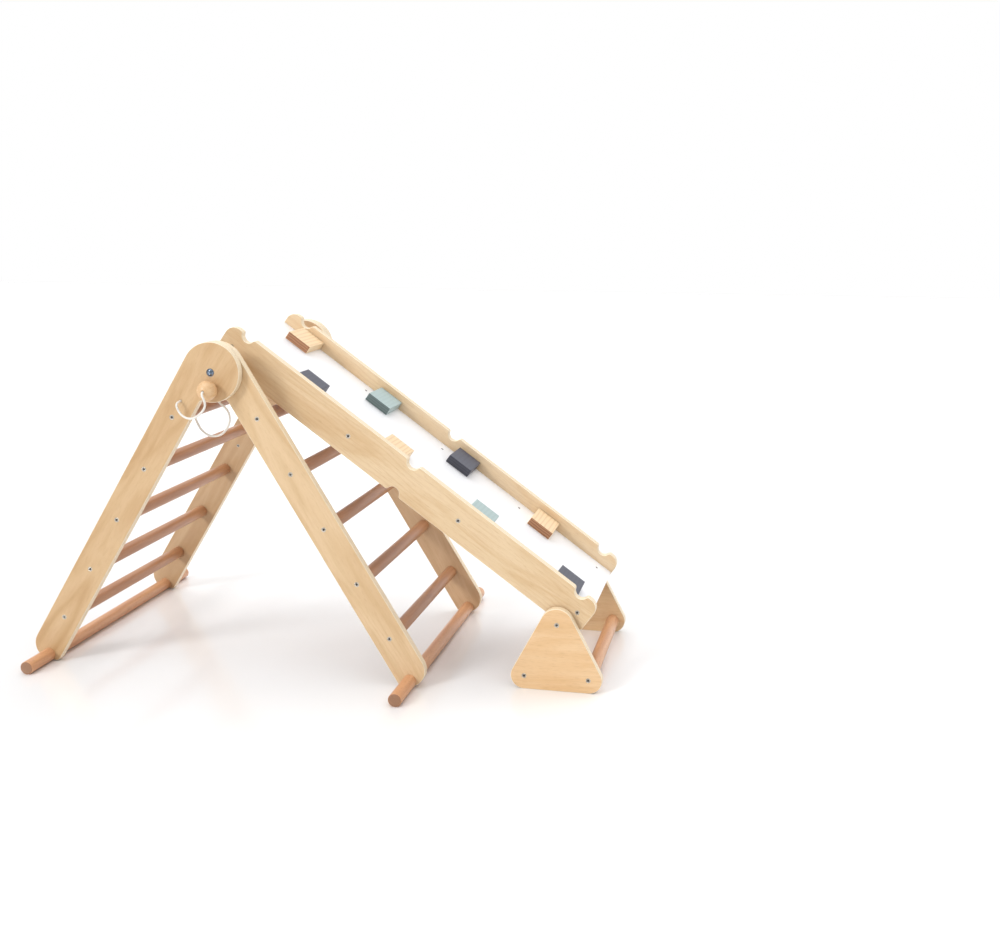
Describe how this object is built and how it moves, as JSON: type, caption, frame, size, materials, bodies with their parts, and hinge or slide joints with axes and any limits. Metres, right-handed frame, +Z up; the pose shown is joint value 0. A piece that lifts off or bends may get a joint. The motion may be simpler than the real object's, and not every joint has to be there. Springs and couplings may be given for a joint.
{
  "type": "toddler climbing frame with slide ramp",
  "caption": "Folding wooden climbing triangle with dowel rungs, a reversible ramp with climbing blocks hooked over its top rung, and a small triangular stand under the ramp.",
  "frame": {"origin": "middle of the overall box, on the floor", "axes": "+X along the length and down the ramp, +Y across the width from the near side to the far side, +Z up from the floor"},
  "size_m": [1.224, 0.732, 0.7211],
  "materials": {
    "birch_plywood": "clear satin lacquer",
    "beech_dowel": "clear satin lacquer",
    "white_board": "smooth white laminate",
    "natural_block": "clear satin lacquer",
    "dark_block": "satin dark grey paint",
    "mint_block": "satin mint paint",
    "zinc_steel": "bright zinc plate",
    "white_cord": "soft braided cotton cord",
    "black_insert": "dark steel insert"
  },
  "bodies": {
    "front_ladder": {"front_rail_near": "birch_plywood", "front_rail_far": "birch_plywood", "front_rung_1": "beech_dowel", "front_rung_2": "beech_dowel", "front_rung_3": "beech_dowel", "front_rung_4": "beech_dowel", "front_rung_5": "beech_dowel", "top_rung": "beech_dowel", "front_foot_dowel": "beech_dowel", "front_rung_screws": "zinc_steel", "pivot_bolts": "zinc_steel", "pivot_washers": "zinc_steel"},
    "back_ladder": {"back_rail_near": "birch_plywood", "back_rail_far": "birch_plywood", "back_rung_1": "beech_dowel", "back_rung_2": "beech_dowel", "back_rung_3": "beech_dowel", "back_rung_4": "beech_dowel", "back_rung_5": "beech_dowel", "back_foot_dowel": "beech_dowel", "back_rung_screws": "zinc_steel", "rail_inserts": "zinc_steel", "tether_cord_near": "white_cord", "tether_cord_far": "white_cord"},
    "near_lock": {"lock_knob_near": "beech_dowel", "lock_pin_near": "zinc_steel", "lock_cord_near": "white_cord"},
    "far_lock": {"lock_knob_far": "beech_dowel", "lock_pin_far": "zinc_steel", "lock_cord_far": "white_cord"},
    "ramp": {"ramp_side_near": "birch_plywood", "ramp_side_far": "birch_plywood", "ramp_board": "white_board", "ramp_side_screws": "zinc_steel", "board_inserts": "black_insert", "block_screws": "zinc_steel", "climbing_block_1": "natural_block", "climbing_block_2": "dark_block", "climbing_block_3": "mint_block", "climbing_block_4": "natural_block", "climbing_block_5": "dark_block", "climbing_block_6": "mint_block", "climbing_block_7": "natural_block", "climbing_block_8": "dark_block"},
    "stand": {"stand_side_near": "birch_plywood", "stand_side_far": "birch_plywood", "stand_top_dowel": "beech_dowel", "stand_front_dowel": "beech_dowel", "stand_rear_dowel": "beech_dowel", "stand_screws": "zinc_steel"}
  },
  "joints": [
    {"name": "fold", "type": "hinge", "parent": "front_ladder", "child": "back_ladder", "pos_m": [-0.1782, 0, 0.638], "axis": [0, -1, 0], "range_deg": [0, 61.5], "deforming": ["tether_cord_near", "tether_cord_far"]},
    {"name": "near_lock_pull", "type": "slide", "parent": "back_ladder", "child": "near_lock", "axis": [0, -1, 0], "range_m": [0, 0.025]},
    {"name": "far_lock_pull", "type": "slide", "parent": "back_ladder", "child": "far_lock", "axis": [0, 1, 0], "range_m": [0, 0.025]},
    {"name": "ramp_lift", "type": "hinge", "parent": "front_ladder", "child": "ramp", "pos_m": [-0.1782, 0, 0.638], "axis": [0, -1, 0], "range_deg": [0, 30]},
    {"name": "stand_swing", "type": "hinge", "parent": "ramp", "child": "stand", "pos_m": [0.51803, 0, 0.14], "axis": [0, 1, 0], "range_deg": [-25, 25]}
  ]
}
